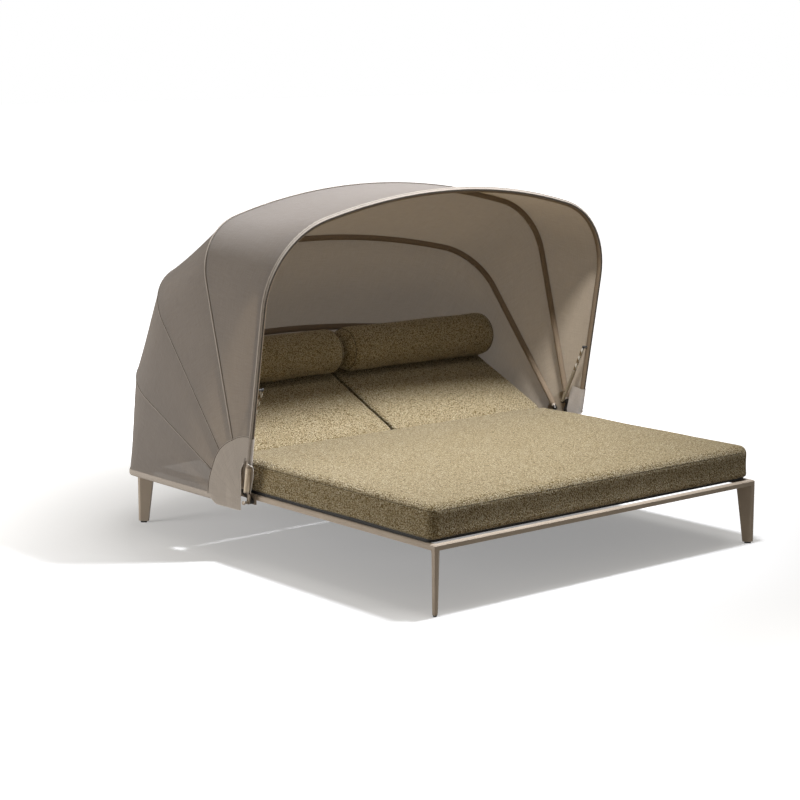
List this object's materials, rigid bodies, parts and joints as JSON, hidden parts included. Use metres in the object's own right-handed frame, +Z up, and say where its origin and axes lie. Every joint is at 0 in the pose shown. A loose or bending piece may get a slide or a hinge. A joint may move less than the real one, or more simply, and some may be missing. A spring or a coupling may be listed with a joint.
{
  "type": "outdoor daybed with canopy",
  "caption": "Square outdoor daybed with a low metal frame on blade legs, a thick seat pad, twin reclining backs with bolsters and a folding mesh canopy on hoops.",
  "frame": {"origin": "centre of the bounding box, on the floor under the glides", "axes": "+X to the right seen from the foot end, +Y towards the head end under the canopy, +Z up"},
  "size_m": [2.0946, 2.4034, 1.6421],
  "materials": {
    "frame_coat": "champagne taupe powder coat, fine satin",
    "steel": "brushed stainless",
    "black_plastic": "matt black moulded",
    "socket_plastic": "beige moulded",
    "cushion_cloth": "olive khaki boucle over foam",
    "canopy_cloth": "taupe open mesh",
    "cord": "twisted two-colour cord"
  },
  "bodies": {
    "bed_frame": {"frame_rail_left": "frame_coat", "frame_rail_right": "frame_coat", "frame_rail_foot": "frame_coat", "frame_rail_head": "frame_coat", "leg_foot_left": "frame_coat", "glide_foot_left": "black_plastic", "leg_foot_right": "frame_coat", "glide_foot_right": "black_plastic", "leg_head_left": "frame_coat", "glide_head_left": "black_plastic", "leg_head_right": "frame_coat", "glide_head_right": "black_plastic", "seat_slat_1": "frame_coat", "seat_slat_2": "frame_coat", "seat_slat_3": "frame_coat", "seat_slat_4": "frame_coat", "seat_slat_5": "frame_coat", "hinge_beam": "frame_coat", "seat_pad": "cushion_cloth", "backrest_hinge_rod_left": "steel", "stay_rack_left": "frame_coat", "canopy_hub_bracket_left": "frame_coat", "canopy_pivot_pin_left": "steel", "hub_flap_left": "canopy_cloth", "backrest_hinge_rod_right": "steel", "stay_rack_right": "frame_coat", "canopy_hub_bracket_right": "frame_coat", "canopy_pivot_pin_right": "steel", "hub_flap_right": "canopy_cloth"},
    "backrest_left": {"backrest_frame_left": "frame_coat", "back_cushion_left": "cushion_cloth", "bolster_left": "cushion_cloth"},
    "backrest_right": {"backrest_frame_right": "frame_coat", "back_cushion_right": "cushion_cloth", "bolster_right": "cushion_cloth"},
    "stay_left": {"backrest_stay_left": "steel"},
    "stay_right": {"backrest_stay_right": "steel"},
    "bow_rear": {"canopy_bow_rear": "frame_coat", "bow_arm_rear_left": "steel", "bow_arm_rear_right": "steel", "canopy_skirt": "canopy_cloth"},
    "bow_third": {"canopy_bow_third": "frame_coat", "bow_arm_third_left": "steel", "bow_arm_third_right": "steel", "canopy_panel_rear": "canopy_cloth"},
    "bow_second": {"canopy_bow_second": "frame_coat", "bow_arm_second_left": "steel", "bow_arm_second_right": "steel", "canopy_panel_middle": "canopy_cloth"},
    "bow_front": {"tension_cord_left": "cord", "tension_cord_right": "cord", "canopy_bow_front": "frame_coat", "bow_arm_front_left": "black_plastic", "bow_socket_left": "socket_plastic", "cord_toggle_left": "black_plastic", "bow_arm_front_right": "black_plastic", "bow_socket_right": "socket_plastic", "cord_toggle_right": "black_plastic", "canopy_front_sleeve": "canopy_cloth", "canopy_panel_front": "canopy_cloth"}
  },
  "joints": [
    {"name": "backrest_left_hinge", "type": "hinge", "parent": "bed_frame", "child": "backrest_left", "pos_m": [-0.477, 0.24027, 0.2903], "axis": [1, 0, 0], "range_deg": [-24.3, 40], "deforming": ["back_cushion_left"]},
    {"name": "backrest_right_hinge", "type": "hinge", "parent": "bed_frame", "child": "backrest_right", "pos_m": [0.477, 0.24027, 0.2903], "axis": [1, 0, 0], "range_deg": [-24.3, 40], "deforming": ["back_cushion_right"]},
    {"name": "stay_left_pivot", "type": "hinge", "parent": "backrest_left", "child": "stay_left", "pos_m": [-0.477, 0.56505, 0.43365], "axis": [-1, 0, 0], "range_deg": [-48.7, 80.1]},
    {"name": "stay_right_pivot", "type": "hinge", "parent": "backrest_right", "child": "stay_right", "pos_m": [0.477, 0.56505, 0.43365], "axis": [-1, 0, 0], "range_deg": [-48.7, 80.1]},
    {"name": "canopy_rear_hinge", "type": "hinge", "parent": "bed_frame", "child": "bow_rear", "pos_m": [0, 0.03127, 0.2705], "axis": [-1, 0, 0], "range_deg": [0, 20.7], "deforming": ["canopy_skirt"]},
    {"name": "canopy_third_hinge", "type": "hinge", "parent": "bow_rear", "child": "bow_third", "pos_m": [0, 0.03127, 0.2705], "axis": [-1, 0, 0], "range_deg": [0, 16], "deforming": ["canopy_panel_rear"]},
    {"name": "canopy_second_hinge", "type": "hinge", "parent": "bow_third", "child": "bow_second", "pos_m": [0, 0.03127, 0.2705], "axis": [-1, 0, 0], "range_deg": [0, 15.5], "deforming": ["canopy_panel_middle"]},
    {"name": "canopy_front_hinge", "type": "hinge", "parent": "bow_second", "child": "bow_front", "pos_m": [0, 0.03127, 0.2705], "axis": [-1, 0, 0], "range_deg": [0, 15.8], "deforming": ["canopy_panel_front", "tension_cord_left", "tension_cord_right"]}
  ],
  "couplings": [
    {"joint": "stay_left_pivot", "follows": "backrest_left_hinge", "ratio": 2},
    {"joint": "stay_right_pivot", "follows": "backrest_right_hinge", "ratio": 2},
    {"joint": "canopy_third_hinge", "follows": "canopy_rear_hinge", "ratio": 0.765},
    {"joint": "canopy_second_hinge", "follows": "canopy_rear_hinge", "ratio": 0.742},
    {"joint": "canopy_front_hinge", "follows": "canopy_rear_hinge", "ratio": 0.759}
  ]
}
